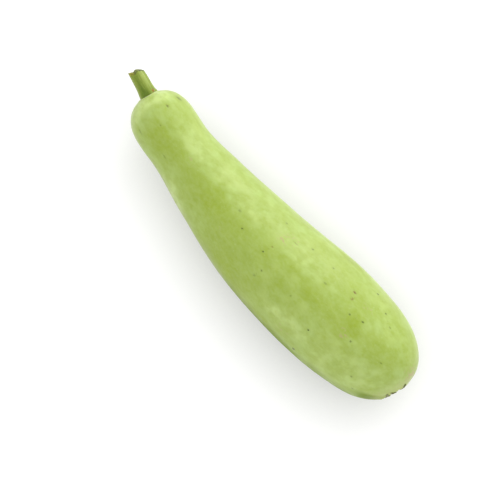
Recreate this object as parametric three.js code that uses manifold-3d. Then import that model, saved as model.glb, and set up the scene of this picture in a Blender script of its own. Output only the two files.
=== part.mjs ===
// A bottle gourd picked young as a vegetable, lying on its belly. It is three pieces: the fruit,
// the stub of stem left where it was cut from the vine, and the dried patch that the flower left
// at the other end. Millimetres, +Z up; X runs from the stem end to the blossom end.
import * as THREE from "three";
import { mergeVertices } from "three/addons/utils/BufferGeometryUtils.js";
import Module from "manifold-3d";

// The fruit grew along a middle line. These values are evenly spaced from the stem end to the
// blossom end, and a Catmull-Rom curve joins them.
const FRUIT_LENGTH = 300;
const SIDE_BEND = [10, 3, 0, 5, 11];
const HEIGHT_BEND = [3.7, 0, 1.5, 5.7, 2];
const FLANK_RADIUS = [32, 25, 30, 36, 40, 42, 38.5, 28];

// Each end closes in a cap: over its length the flank radius is multiplied by a superellipse, so
// a power of 2 is an ellipse and a higher power a blunter end.
const STEM_CAP = { length: 43, power: 2.1 };
const BLOSSOM_CAP = { length: 33, power: 2.5 };

// The belly is flat this deep where the fruit rests.
const REST_FLAT = 0.7;

// Where the stem and the flower sit on their ends: the distance from the middle line, and the
// angle around it in degrees, from the +Y side up over the top.
const STEM_SEAT = { offset: 5.5, angle: 58 };
const BLOSSOM_SEAT = { offset: 10, angle: 185 };

// The stem flares towards its foot, has soft ribs and bends sideways a little. Its radii are
// evenly spaced from the skin to the cut, and its root runs on inside the fruit's outline, where
// it is trimmed to the skin. It leans up from the skin by its rise, in degrees.
const STEM_LENGTH = 21.5;
const STEM_ROOT = 4;
const STEM_RADIUS = [6.9, 6.35, 6.15, 5.8, 5.4];
const STEM_RIBS = { count: 5, depth: 0.05 };
const STEM_RISE = 8;
const STEM_BEND = 1;

// Three strokes took it off the vine, the last one tearing. Each is a flat cut through a point,
// leaning up and slanting sideways by these degrees.
const STEM_CUTS = [
  { point: [0, 21.5, 0], lean: 6, slant: 3, width: 30 },
  { point: [1, 21.2, 0], lean: 0, slant: -32, width: 30 },
  { point: [-3.2, 20.6, 0], lean: 16, slant: 0, width: 6 },
];

// The flower left a shallow crater in the skin, and in it a dried disc with a lobed edge and
// ridges that run out from its middle. Its heights are measured from the skin.
const CRATER = { depth: 1.8, radius: 9 };
const REMNANT = { radius: 8.2, rim: -1, crown: -0.2, root: 4 };
const REMNANT_LOBES = { count: 5, depth: 0.06 };
const REMNANT_RIDGES = { count: 15, height: 0.3 };

// The gap between pieces that touch, and how finely each is faceted.
const GAP = 0.3;
const FRUIT_STATIONS = 60;
const FRUIT_SIDES = 44;
const STEM_RINGS = 12;
const STEM_SIDES = 40;
const REMNANT_RINGS = 4;
const REMNANT_SIDES = 60;

const UP = new THREE.Vector3(0, 0, 1);
const SMALL_STEP = 0.001;

const wasm = await Module();
wasm.setup();

// A Catmull-Rom curve through evenly spaced values, at u from 0 to 1. The end values repeat.
function along(values, u) {
  const last = values.length - 1;
  const place = u * last;
  const i = Math.min(Math.floor(place), last - 1);
  const t = place - i;
  const before = values[Math.max(i - 1, 0)];
  const start = values[i];
  const end = values[i + 1];
  const after = values[Math.min(i + 2, last)];
  const startSlope = (end - before) / 2;
  const endSlope = (after - start) / 2;
  const cubic = 2 * (start - end) + startSlope + endSlope;
  const square = 3 * (end - start) - 2 * startSlope - endSlope;
  return ((cubic * t + square) * t + startSlope) * t + start;
}

// How far a cap has opened at a distance from its pole: 0 at the pole, 1 past its length.
function opened({ length, power }, distance) {
  const closed = Math.max(0, 1 - distance / length);
  return (1 - closed ** power) ** (1 / power);
}

function fruitRadius(u) {
  const fromStem = u * FRUIT_LENGTH;
  return along(FLANK_RADIUS, u) * opened(STEM_CAP, fromStem)
    * opened(BLOSSOM_CAP, FRUIT_LENGTH - fromStem);
}

function middleLine(u) {
  return new THREE.Vector3(u * FRUIT_LENGTH, along(SIDE_BEND, u), along(HEIGHT_BEND, u));
}

// The middle line's direction at u, the level direction to its side, and the one over it.
function frameAt(u) {
  const before = middleLine(Math.max(u - SMALL_STEP, 0));
  const ahead = middleLine(Math.min(u + SMALL_STEP, 1)).sub(before).normalize();
  const side = new THREE.Vector3().crossVectors(UP, ahead).normalize();
  const over = new THREE.Vector3().crossVectors(ahead, side);
  return { ahead, side, over };
}

// The point at a distance from the middle line and an angle around it.
function around(u, distance, angle) {
  const { side, over } = frameAt(u);
  return middleLine(u)
    .addScaledVector(side, distance * Math.cos(angle))
    .addScaledVector(over, distance * Math.sin(angle));
}

function skinPoint(u, angle) {
  return around(u, fruitRadius(u), angle);
}

// The skin's outward direction. The skin leans back where the radius grows along the fruit.
function skinOutward(u, angle) {
  const pole = u < 0.5 ? -1 : 1;
  const { ahead } = frameAt(u);
  if (fruitRadius(u) < SMALL_STEP) return ahead.multiplyScalar(pole);
  const before = Math.max(u - SMALL_STEP / 10, 0);
  const after = Math.min(u + SMALL_STEP / 10, 1);
  const growth = (fruitRadius(after) - fruitRadius(before)) / ((after - before) * FRUIT_LENGTH);
  return around(u, 1, angle).sub(middleLine(u)).addScaledVector(ahead, -growth).normalize();
}

// The skin's point and outward direction at a seat: the station between a pole and a place well
// inside the fruit where the radius equals the seat's offset, found by halving.
function seatOn({ offset, angle }, pole, inside) {
  const turn = THREE.MathUtils.degToRad(angle);
  let near = pole;
  let far = inside;
  while (Math.abs(far - near) > 1e-7) {
    const middle = (near + far) / 2;
    if (fruitRadius(middle) < offset) near = middle;
    else far = middle;
  }
  return { point: skinPoint(near, turn), outward: skinOutward(near, turn) };
}

const stemSeat = seatOn(STEM_SEAT, 0, 0.1);
const blossomSeat = seatOn(BLOSSOM_SEAT, 1, 0.9);

// Moves every vertex of a geometry to the point that a function gives for it.
function reshape(geometry, move) {
  const position = geometry.attributes.position;
  const vertex = new THREE.Vector3();
  for (let i = 0; i < position.count; i += 1) {
    vertex.fromBufferAttribute(position, i);
    const moved = move(vertex);
    position.setXYZ(i, moved.x, moved.y, moved.z);
  }
  return geometry;
}

// Stands a geometry on a point of the skin: its +Y becomes the outward direction, its +X is
// level, and its +Z leans up.
function standOn(geometry, point, outward) {
  const level = new THREE.Vector3().crossVectors(outward, UP).normalize();
  const over = new THREE.Vector3().crossVectors(level, outward);
  const place = new THREE.Matrix4().makeBasis(level, outward, over).setPosition(point);
  return geometry.applyMatrix4(place);
}

// A closed geometry as a solid: shared vertices are merged and collapsed triangles dropped.
function toSolid(geometry) {
  geometry.deleteAttribute("normal");
  geometry.deleteAttribute("uv");
  const merged = mergeVertices(geometry, 1e-4);
  const corners = merged.index.array;
  const kept = [];
  for (let i = 0; i < corners.length; i += 3) {
    const [a, b, c] = corners.slice(i, i + 3);
    if (a !== b && b !== c && c !== a) kept.push(a, b, c);
  }
  const vertProperties = new Float32Array(merged.attributes.position.array);
  const triVerts = new Uint32Array(kept);
  return new wasm.Manifold(new wasm.Mesh({ numProp: 3, vertProperties, triVerts }));
}

function toGeometry(solid) {
  const { vertProperties, triVerts } = solid.getMesh();
  const geometry = new THREE.BufferGeometry();
  geometry.setAttribute("position", new THREE.BufferAttribute(vertProperties, 3));
  geometry.setIndex(new THREE.BufferAttribute(triVerts, 1));
  geometry.computeVertexNormals();
  return geometry;
}

function toMesh(name, solid, material) {
  const mesh = new THREE.Mesh(toGeometry(solid), material);
  mesh.name = name;
  return mesh;
}

// The whole fruit: a lathe of its radius bent along the middle line, with the flower's crater
// sunk in it. The stations crowd towards the poles. Grown outwards by the gap, it is also the
// shape that trims the stem and the dried flower to the skin.
function wholeFruit(grown) {
  const profile = [];
  for (let k = 0; k <= FRUIT_STATIONS; k += 1) {
    const u = (1 - Math.cos((Math.PI * k) / FRUIT_STATIONS)) / 2;
    profile.push(new THREE.Vector2(fruitRadius(u), u));
  }
  const lathe = new THREE.LatheGeometry(profile, FRUIT_SIDES);
  return toSolid(reshape(lathe, ({ x, y, z }) => {
    const u = THREE.MathUtils.clamp(y, 0, 1);
    const angle = Math.atan2(x, z);
    const point = around(u, Math.hypot(x, z), angle).addScaledVector(skinOutward(u, angle), grown);
    const spread = point.distanceTo(blossomSeat.point) / CRATER.radius;
    return point.addScaledVector(blossomSeat.outward, -CRATER.depth * Math.exp(-(spread ** 4)));
  }));
}

// A block standing on the plane of one stroke, which takes off all that is above it.
function stemCutter({ point, lean, slant, width }) {
  const block = new THREE.BoxGeometry(width, STEM_LENGTH, 2 * STEM_LENGTH);
  block.translate(0, STEM_LENGTH / 2, 0);
  block.rotateX(THREE.MathUtils.degToRad(lean));
  block.rotateZ(THREE.MathUtils.degToRad(slant));
  block.translate(...point);
  return toSolid(block);
}

// The stem before it is trimmed to the skin, standing on its seat. It starts out taller than the
// cut stem.
function stemBlank() {
  const top = 1.2 * STEM_LENGTH;
  const profile = [new THREE.Vector2(0, -STEM_ROOT), new THREE.Vector2(STEM_RADIUS[0], -STEM_ROOT)];
  for (let k = 0; k <= STEM_RINGS; k += 1) {
    const u = k / STEM_RINGS;
    profile.push(new THREE.Vector2(along(STEM_RADIUS, u), top * u));
  }
  profile.push(new THREE.Vector2(0, top));
  const lathe = new THREE.LatheGeometry(profile, STEM_SIDES);
  reshape(lathe, ({ x, y, z }) => {
    const rib = 1 + STEM_RIBS.depth * Math.cos(STEM_RIBS.count * Math.atan2(z, x));
    const bend = STEM_BEND * (Math.max(0, y) / STEM_LENGTH) ** 2;
    return new THREE.Vector3(x * rib + bend, y, z * rib);
  });
  let blank = toSolid(lathe);
  for (const stroke of STEM_CUTS) blank = blank.subtract(stemCutter(stroke));
  const { point, outward } = stemSeat;
  const tilt = new THREE.Vector3().crossVectors(outward, UP).normalize();
  const direction = outward.clone().applyAxisAngle(tilt, THREE.MathUtils.degToRad(STEM_RISE));
  return toSolid(standOn(toGeometry(blank), point, direction));
}

// The dried flower before it is trimmed to its crater, standing on its seat.
function remnantBlank() {
  const { radius, rim, crown, root } = REMNANT;
  const profile = [new THREE.Vector2(0, -root), new THREE.Vector2(radius, -root)];
  for (let k = 0; k <= REMNANT_RINGS; k += 1) {
    const out = 1 - k / REMNANT_RINGS;
    profile.push(new THREE.Vector2(radius * out, crown + (rim - crown) * out * out));
  }
  const lathe = new THREE.LatheGeometry(profile, REMNANT_SIDES);
  reshape(lathe, ({ x, y, z }) => {
    const angle = Math.atan2(z, x);
    const out = Math.hypot(x, z) / radius;
    const lobe = 1 + REMNANT_LOBES.depth * Math.cos(REMNANT_LOBES.count * angle);
    const ridge = y > -root ? REMNANT_RIDGES.height * out * Math.cos(REMNANT_RIDGES.count * angle) : 0;
    return new THREE.Vector3(x * lobe, y + ridge, z * lobe);
  });
  return toSolid(standOn(lathe, blossomSeat.point, blossomSeat.outward));
}

const rindGreen = new THREE.MeshStandardMaterial({ color: 0xb4d06e, roughness: 0.45, metalness: 0 });
const stemGreen = new THREE.MeshStandardMaterial({ color: 0x8ba045, roughness: 0.6, metalness: 0 });
const driedBrown = new THREE.MeshStandardMaterial({ color: 0x7a4f32, roughness: 0.85, metalness: 0 });

// The rest plane lies a little above the lowest skin, and all below it is taken off.
const roundFruit = wholeFruit(0);
const restHeight = roundFruit.boundingBox().min[2] + REST_FLAT;
const floor = new THREE.BoxGeometry(2 * FRUIT_LENGTH, FRUIT_LENGTH, FRUIT_LENGTH);
floor.translate(FRUIT_LENGTH / 2, 0, restHeight - FRUIT_LENGTH / 2);
const fruit = roundFruit.subtract(toSolid(floor));

const trimmer = wholeFruit(GAP);
const stem = stemBlank().subtract(trimmer);
const remnant = remnantBlank().subtract(trimmer);

const gourd = new THREE.Group();
gourd.add(toMesh("fruit", fruit, rindGreen));
gourd.add(toMesh("stem", stem, stemGreen));
gourd.add(toMesh("blossom_remnant", remnant, driedBrown));

// The origin is the middle of the gourd's footprint, on the rest plane.
const footprint = new THREE.Box3().setFromObject(gourd).getCenter(new THREE.Vector3());
gourd.position.set(-footprint.x, -footprint.y, -restHeight);

export default gourd;
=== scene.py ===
import math

import bpy
import numpy as np
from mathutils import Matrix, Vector


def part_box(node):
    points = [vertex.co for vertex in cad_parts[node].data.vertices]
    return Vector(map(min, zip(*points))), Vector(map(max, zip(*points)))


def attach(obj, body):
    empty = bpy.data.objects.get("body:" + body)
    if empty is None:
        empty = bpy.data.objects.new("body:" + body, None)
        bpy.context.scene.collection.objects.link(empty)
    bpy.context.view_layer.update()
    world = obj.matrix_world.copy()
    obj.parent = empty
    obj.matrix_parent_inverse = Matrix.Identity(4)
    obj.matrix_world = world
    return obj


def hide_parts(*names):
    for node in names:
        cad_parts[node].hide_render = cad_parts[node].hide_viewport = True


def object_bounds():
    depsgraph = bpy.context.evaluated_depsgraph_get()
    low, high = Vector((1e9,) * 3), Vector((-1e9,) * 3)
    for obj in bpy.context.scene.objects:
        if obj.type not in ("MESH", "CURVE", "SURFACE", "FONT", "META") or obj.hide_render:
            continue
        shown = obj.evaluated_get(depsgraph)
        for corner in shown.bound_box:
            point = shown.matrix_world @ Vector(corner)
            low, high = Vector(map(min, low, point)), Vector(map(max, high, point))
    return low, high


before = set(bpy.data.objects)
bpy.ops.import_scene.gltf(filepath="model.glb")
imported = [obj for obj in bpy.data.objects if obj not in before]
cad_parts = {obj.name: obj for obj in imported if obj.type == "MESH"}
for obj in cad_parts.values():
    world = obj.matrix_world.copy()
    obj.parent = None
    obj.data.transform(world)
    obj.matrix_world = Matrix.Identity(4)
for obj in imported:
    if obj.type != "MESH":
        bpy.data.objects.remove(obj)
cad_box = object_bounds()

# ---- Camera ---------------------------------------------------------------------------------
# It looks down on the laid gourd with a long lens, so that the fruit runs from the stem at the
# upper left to the blossom end at the lower right.
CAMERA_LENS = 180
CAMERA_DISTANCE = 1.804
CAMERA_AZIMUTH = math.radians(48.52)
CAMERA_ELEVATION = math.radians(80)
CAMERA_AIM = Vector((-0.0125, -0.01685, -0.0075))

fruit_low, fruit_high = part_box("fruit")
fruit_crown = Vector(((fruit_low.x + fruit_high.x) / 2, (fruit_low.y + fruit_high.y) / 2, fruit_high.z))
camera_back = Vector((
    math.sin(CAMERA_AZIMUTH) * math.cos(CAMERA_ELEVATION),
    -math.cos(CAMERA_AZIMUTH) * math.cos(CAMERA_ELEVATION),
    math.sin(CAMERA_ELEVATION),
))
camera = bpy.data.objects.new("camera", bpy.data.cameras.new("camera"))
camera.data.lens = CAMERA_LENS
camera.data.clip_end = 50
camera.location = fruit_crown + CAMERA_AIM + camera_back * CAMERA_DISTANCE
camera.rotation_mode = "QUATERNION"
camera.rotation_quaternion = (-camera_back).to_track_quat("-Z", "Y")
bpy.context.scene.collection.objects.link(camera)
bpy.context.scene.camera = camera
bpy.context.scene.view_settings.view_transform = "Standard"

# ---- Studio ---------------------------------------------------------------------------------
# A pale matt table in a white light tent, with one broad soft lamp low beside the gourd's far
# flank. Rays that look straight at the set find it white, and all the others find its real
# brightness. The table also carries a painted contact shadow, darker where the gourd comes close to it.
TABLE_SIZE = 12
TABLE_PALE = 0.9
TABLE_SEEN_PALE = 0.56
TABLE_SEEN_GLOW = 0.68
CONTACT_SHADOW_REACH = 0.052
CONTACT_SHADOW_DARK = 0.54
CONTACT_SAMPLES = 16
TENT_LIGHT = 0.785
LAMP_SIZE = 1.1
LAMP_POWER = 10
LAMP_COLOUR = (1, 0.99, 0.96)
LAMP_DISTANCE = 1.5
LAMP_BEARING = math.radians(105)
LAMP_HEIGHT = math.radians(25)
WHITE = (1, 1, 1, 1)


def place(tree, kind, settings=None, **inputs):
    """Adds a node. Each input named here takes a value, or a link where it is given a socket; a
    name's underscore stands for a space, and a number picks the socket by its order."""
    node = tree.nodes.new(kind)
    for name, value in (settings or {}).items():
        setattr(node, name, value)
    for name, value in inputs.items():
        key = int(name[1:]) if name[1:].isdigit() else name.replace("_", " ")
        if isinstance(value, bpy.types.NodeSocket):
            tree.links.new(value, node.inputs[key])
        else:
            node.inputs[key].default_value = value
    return node


def maths(tree, operation, *values, **settings):
    """The result of one operation on values or sockets, in the order that the operation takes them."""
    inputs = {f"_{order}": value for order, value in enumerate(values)}
    return place(tree, "ShaderNodeMath", {"operation": operation, **settings}, **inputs).outputs[0]


def seen_straight(tree):
    """1 for rays from the camera and for mirror and glass rays, and 0 for all other rays."""
    path = place(tree, "ShaderNodeLightPath").outputs
    direct = maths(tree, "MAXIMUM", path["Is Camera Ray"], path["Is Glossy Ray"])
    return maths(tree, "MAXIMUM", direct, path["Is Transmission Ray"])


def new_material(name):
    """An empty material and its node tree."""
    material = bpy.data.materials.new(name)
    material.use_nodes = True
    material.node_tree.nodes.clear()
    return material, material.node_tree


world = bpy.data.worlds.new("light_tent")
world.use_nodes = True
world.node_tree.nodes.clear()
tree = world.node_tree
tent_light = place(tree, "ShaderNodeBackground", Color=WHITE, Strength=TENT_LIGHT)
tent_white = place(tree, "ShaderNodeBackground", Color=WHITE, Strength=1)
tent = place(tree, "ShaderNodeMixShader", Fac=seen_straight(tree),
             _1=tent_light.outputs[0], _2=tent_white.outputs[0])
place(tree, "ShaderNodeOutputWorld", Surface=tent.outputs[0])
bpy.context.scene.world = world

lamp = bpy.data.objects.new("lamp", bpy.data.lights.new("lamp", "AREA"))
lamp.data.size = LAMP_SIZE
lamp.data.energy = LAMP_POWER
lamp.data.color = LAMP_COLOUR
lamp_back = Vector((
    math.cos(LAMP_BEARING) * math.cos(LAMP_HEIGHT),
    math.sin(LAMP_BEARING) * math.cos(LAMP_HEIGHT),
    math.sin(LAMP_HEIGHT),
))
lamp.location = lamp_back * LAMP_DISTANCE
lamp.rotation_mode = "QUATERNION"
lamp.rotation_quaternion = (-lamp_back).to_track_quat("-Z", "Y")
lamp.visible_camera = False
bpy.context.scene.collection.objects.link(lamp)

# A painted contact shadow darkens a place of the table, the more of the sky over it the gourd
# hides within the contact's reach.
table_paint, tree = new_material("table_paint")
straight = seen_straight(tree)
open_sky = place(tree, "ShaderNodeAmbientOcclusion", {"samples": CONTACT_SAMPLES}, Distance=CONTACT_SHADOW_REACH)
painted_contact_shadow = maths(tree, "MULTIPLY_ADD", open_sky.outputs["AO"], CONTACT_SHADOW_DARK, 1 - CONTACT_SHADOW_DARK)
paleness = maths(tree, "MULTIPLY_ADD", straight, TABLE_SEEN_PALE - TABLE_PALE, TABLE_PALE)
brightness = maths(tree, "MULTIPLY", straight, TABLE_SEEN_GLOW)
table_matt = place(tree, "ShaderNodeBsdfDiffuse", Color=maths(tree, "MULTIPLY", paleness, painted_contact_shadow))
table_glow = place(tree, "ShaderNodeEmission", Color=WHITE,
                   Strength=maths(tree, "MULTIPLY", brightness, painted_contact_shadow))
table_both = place(tree, "ShaderNodeAddShader", _0=table_matt.outputs[0], _1=table_glow.outputs[0])
place(tree, "ShaderNodeOutputMaterial", Surface=table_both.outputs[0])

table_mesh = bpy.data.meshes.new("table")
half = TABLE_SIZE / 2
table_mesh.from_pydata([(-half, -half, 0), (half, -half, 0), (half, half, 0), (-half, half, 0)],
                       [], [(0, 1, 2, 3)])
table_mesh.materials.append(table_paint)
table = bpy.data.objects.new("table", table_mesh)
bpy.context.scene.collection.objects.link(table)

# ---- Fruit ----------------------------------------------------------------------------------
# One fleshy fruit with a smooth, waxy green rind, narrow behind the stem and full towards the
# blossom end. It grew along a gently bent middle line and is flat only where it rests.
FRUIT_LENGTH = 300
SIDE_BEND = [10, 3, 0, 5, 11]
HEIGHT_BEND = [3.7, 0, 1.5, 5.7, 2]
FLANK_RADIUS = [32, 25, 30, 36, 40, 42, 38.5, 28]

# A cap has a length and a power. A seat is an offset from the middle line, at an angle in degrees.
STEM_CAP = (43, 2.1)
BLOSSOM_CAP = (33, 2.5)
STEM_SEAT = (5.5, 58)
BLOSSOM_SEAT = (10, 185)
CRATER_DEPTH = 3.4
CRATER_RADIUS = 9
SKIN_ROWS = 420
SKIN_SIDES = 220
UP = np.array([0.0, 0.0, 1.0])


def through(values, u):
    """A Catmull-Rom curve through evenly spaced values, at places u from 0 to 1. The end values
    repeat."""
    values = np.asarray(values, float)
    last = len(values) - 1
    place_on = np.clip(u, 0, 1) * last
    i = np.minimum(place_on.astype(int), last - 1)
    t = place_on - i
    before, start, end = values[np.maximum(i - 1, 0)], values[i], values[i + 1]
    after = values[np.minimum(i + 2, last)]
    start_slope, end_slope = (end - before) / 2, (after - start) / 2
    cubic = 2 * (start - end) + start_slope + end_slope
    square = 3 * (end - start) - 2 * start_slope - end_slope
    return ((cubic * t + square) * t + start_slope) * t + start


def opened(cap, distance):
    """How far a cap has opened: a superellipse, 0 at the pole and 1 past its length."""
    length, power = cap
    closed = np.maximum(0, 1 - distance / length)
    return (1 - closed**power) ** (1 / power)


def fruit_radius(u):
    """The flank radius, times how far the stem end's cap and the blossom end's cap have opened."""
    caps = opened(STEM_CAP, u * FRUIT_LENGTH) * opened(BLOSSOM_CAP, (1 - u) * FRUIT_LENGTH)
    return through(FLANK_RADIUS, u) * caps


def unit(vectors):
    """Vectors made one long."""
    return vectors / np.linalg.norm(vectors, axis=-1, keepdims=True)


def middle_line(u):
    """The middle line: even steps along X, with a side bend and a height bend."""
    return np.stack([u * FRUIT_LENGTH, through(SIDE_BEND, u), through(HEIGHT_BEND, u)], -1)


def skin_at(u, angle):
    """The skin's point and outward direction: out from the middle line by the radius, and leaning
    back by the radius's growth. Angles run from the +Y side up over the top."""
    step = 0.001
    ahead = unit(middle_line(np.minimum(u + step, 1)) - middle_line(np.maximum(u - step, 0)))
    side = unit(np.cross(UP, ahead))
    over = np.cross(ahead, side)
    out = np.cos(angle)[..., None] * side + np.sin(angle)[..., None] * over
    near, far = np.maximum(u - step / 50, 0), np.minimum(u + step / 50, 1)
    growth = (fruit_radius(far) - fruit_radius(near)) / ((far - near) * FRUIT_LENGTH)
    point = middle_line(u) + fruit_radius(u)[..., None] * out
    return point, unit(out - growth[..., None] * ahead)


def rind_place(along, degrees):
    """The plain skin's point at a distance along the fruit and an angle in degrees."""
    return skin_at(np.array([along / FRUIT_LENGTH]), np.radians([degrees]))[0][0]


def seat_at(seat, pole):
    """The point, outward direction, level direction and upward direction of a seat on an end: it
    is its offset away from the middle line, at its angle."""
    offset, angle = seat
    near_pole = np.linspace(0, 0.1, 20001)
    stations = near_pole if pole == 0 else 1 - near_pole
    u = np.interp(offset, fruit_radius(stations), stations)
    point, outward = skin_at(np.array([u]), np.radians([angle]))
    level = unit(np.cross(outward[0], UP))
    return point[0], outward[0], level, np.cross(level, outward[0])


def smooth_step(value, low, high):
    """0 up to low, 1 from high, and an even curve between them."""
    t = np.clip((value - low) / (high - low), 0, 1)
    return t * t * (3 - 2 * t)


def turned_from(angles, middle):
    """How far angles are from a middle one, the short way round."""
    return (angles - middle + math.pi) % (2 * math.pi) - math.pi


def ridge(value, middle, reach):
    """A bell curve: 1 where a value is at the middle, and fading away on both hands of it."""
    return np.exp(-(((value - middle) / reach) ** 2))


def ripple(points, size, seed, waves=40):
    """A smooth random field, mostly from -1 to 1: plane waves about `size` long, of random
    direction and phase, added up."""
    random = np.random.default_rng(seed)
    heading = unit(random.normal(size=(waves, 3))) * 2 * math.pi
    heading /= size * random.uniform(0.7, 1.5, (waves, 1))
    phase = random.uniform(0, 2 * math.pi, waves)
    return np.cos(points @ heading.T + phase).sum(-1) * math.sqrt(1 / waves)


def closed_mesh(name, rings):
    """A closed skin over a grid of rings of points, in metres: quads between one ring and the
    next, and a fan of triangles to the middle of the first and of the last ring. If the volume
    that the quads enclose comes out below zero, every face is turned over to look outwards."""
    rows, sides = rings.shape[:2]
    poles = np.stack([rings[0].mean(0), rings[-1].mean(0)])
    corners = np.concatenate([rings.reshape(-1, 3), poles])
    index = np.arange(rows * sides).reshape(rows, sides)
    onward = np.roll(index, -1, axis=1)
    quads = np.stack([index[:-1], onward[:-1], onward[1:], index[1:]], -1).reshape(-1, 4)
    first = np.stack([np.full(sides, rows * sides), onward[0], index[0]], -1)
    last = np.stack([np.full(sides, rows * sides + 1), index[-1], onward[-1]], -1)
    a, b, c, d = np.moveaxis(corners[quads] - poles.mean(0), 1, 0)
    if (np.cross(a, b) * c + np.cross(a, c) * d).sum() < 0:
        quads, first, last = quads[:, ::-1], first[:, ::-1], last[:, ::-1]
    mesh = bpy.data.meshes.new(name)
    mesh.from_pydata(corners.tolist(), [], quads.tolist() + first.tolist() + last.tolist())
    mesh.polygons.foreach_set("use_smooth", np.ones(len(mesh.polygons), bool))
    thing = bpy.data.objects.new(name, mesh)
    bpy.context.scene.collection.objects.link(thing)
    return thing


def keep_field(thing, name, values):
    """Stores a field that was worked out on the rings, with each pole's mean, on the mesh."""
    rows = values.reshape(values.shape[0], values.shape[1], -1)
    poles = np.stack([rows[0].mean(0), rows[-1].mean(0)])
    full = np.concatenate([rows.reshape(-1, rows.shape[-1]), poles])
    kind = "FLOAT" if rows.shape[-1] == 1 else "FLOAT_VECTOR"
    field = thing.data.attributes.new(name, kind, "POINT")
    field.data.foreach_set("value" if kind == "FLOAT" else "vector", full.astype(np.float32).ravel())


# Stations are closer together near the two ends, where the crater and the collar are. They are
# evenly spread over the walk along the skin from pole to pole, each stretch of it counted as
# often as the spacing there goes into it.
END_SPACING = 0.3
BELLY_SPACING = 1.1
END_REACH = (14, 36)
POLE_GAP = 2e-7

run = (1 - np.cos(math.pi * np.linspace(0, 1, 6001))) / 2
walked = np.hypot(np.diff(run) * FRUIT_LENGTH, np.diff(fruit_radius(run)))
walked = np.concatenate([[0], np.cumsum(walked)])
from_end = np.minimum(walked, walked[-1] - walked)
spacing = np.interp(from_end, END_REACH, (END_SPACING, BELLY_SPACING))
crowded = np.concatenate([[0], np.cumsum(np.diff(walked) / spacing[1:])])
stations = np.interp(np.linspace(0, 1, SKIN_ROWS) * crowded[-1], crowded, run)
stations[0], stations[-1] = POLE_GAP, 1 - POLE_GAP

all_round = np.linspace(0, 2 * math.pi, SKIN_SIDES, endpoint=False)
u, angle = np.meshgrid(stations, all_round, indexing="ij")
skin, outward = skin_at(u, angle)
plain_low, plain_high = skin.reshape(-1, 3).min(0), skin.reshape(-1, 3).max(0)
stem_seat, stem_outward, stem_level, stem_over = seat_at(STEM_SEAT, 0)
blossom_seat, blossom_outward, blossom_level, blossom_over = seat_at(BLOSSOM_SEAT, 1)

# The rind is not quite round: long swells, fuller shoulders round the stem, a collar where the
# stem joins, and puckers that run out from the flower's crater, inside its raised lip. A ripple
# has a height, a size and a seed. A swell has a distance along the fruit, an angle, a reach and
# a height.
RIPPLES = [(0.22, 90, 3), (0.08, 32, 4), (0.025, 9, 5)]
SWELLS = [(4, 165, 14, 1.3), (8, 38, 13, 0.2), (284, 182, 22, 0.7), (236, 184, 30, 0.4), (46, 18, 16, -0.6)]
SHOULDERS_AT = 19
COLLAR_AT = 8.2
PUCKERS_AT = 10.5
LIP_AT = 11

from_stem = np.linalg.norm(skin - stem_seat, axis=-1)
from_blossom = np.linalg.norm(skin - blossom_seat, axis=-1)
stem_turn = np.arctan2((skin - stem_seat) @ stem_over, (skin - stem_seat) @ stem_level)
blossom_turn = np.arctan2((skin - blossom_seat) @ blossom_over, (skin - blossom_seat) @ blossom_level)
swell = sum(height * ripple(skin, size, seed) for height, size, seed in RIPPLES)
for swell_along, swell_angle, swell_reach, swell_height in SWELLS:
    from_swell = np.linalg.norm(skin - rind_place(swell_along, swell_angle), axis=-1)
    swell += swell_height * ridge(from_swell, 0, swell_reach)
shoulders = 0.25 * np.cos(5 * stem_turn + 0.6) * ridge(from_stem, SHOULDERS_AT, 8)
collar = 0.25 * ridge(from_stem, COLLAR_AT, 1.0) - 0.1 * ridge(from_stem, COLLAR_AT + 2.8, 2.2)
pucker_wave = np.cos(13 * blossom_turn + 1.6 * ripple(skin, 14, 6)) + 0.6 * np.cos(21 * blossom_turn + 2)
puckers = 0.16 * pucker_wave * ridge(from_blossom, PUCKERS_AT, 2.8)
crater = -CRATER_DEPTH * np.exp(-((from_blossom / CRATER_RADIUS) ** 6))
lip_height = 0.3 + 0.3 * smooth_step(np.sin(blossom_turn), -0.2, 0.8)
lip = lip_height * ridge(from_blossom, LIP_AT, 2.2)
skin = skin + (swell + shoulders + collar + puckers + lip)[..., None] * outward
skin = skin + crater[..., None] * blossom_outward

# The middle of the plain fruit is the middle of the CAD fruit, and their tops are level.
cad_low, cad_high = np.array(fruit_low) * 1000, np.array(fruit_high) * 1000
shift = (cad_low + cad_high) / 2 - (plain_low + plain_high) / 2
shift[2] = cad_high[2] - plain_high[2]
skin = skin + shift


def held_below(value, limit, margin=0.4):
    """A value eased towards a limit that it never passes: unchanged until a margin before it."""
    past = np.maximum(value - limit + margin, 0)
    return np.where(past > 0, limit - margin * np.exp(-past / margin), value)


furthest_x = cad_box[1][0] * 1000
skin[..., 0] = held_below(skin[..., 0], furthest_x)
skin[..., 1] = held_below(skin[..., 1], cad_high[1])
skin[..., 1] = -held_below(-skin[..., 1], -cad_low[1])
skin[..., 2] = np.maximum(held_below(skin[..., 2], cad_high[2]), 0)
fruit_skin = closed_mesh("fruit_skin", skin / 1000)

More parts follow.
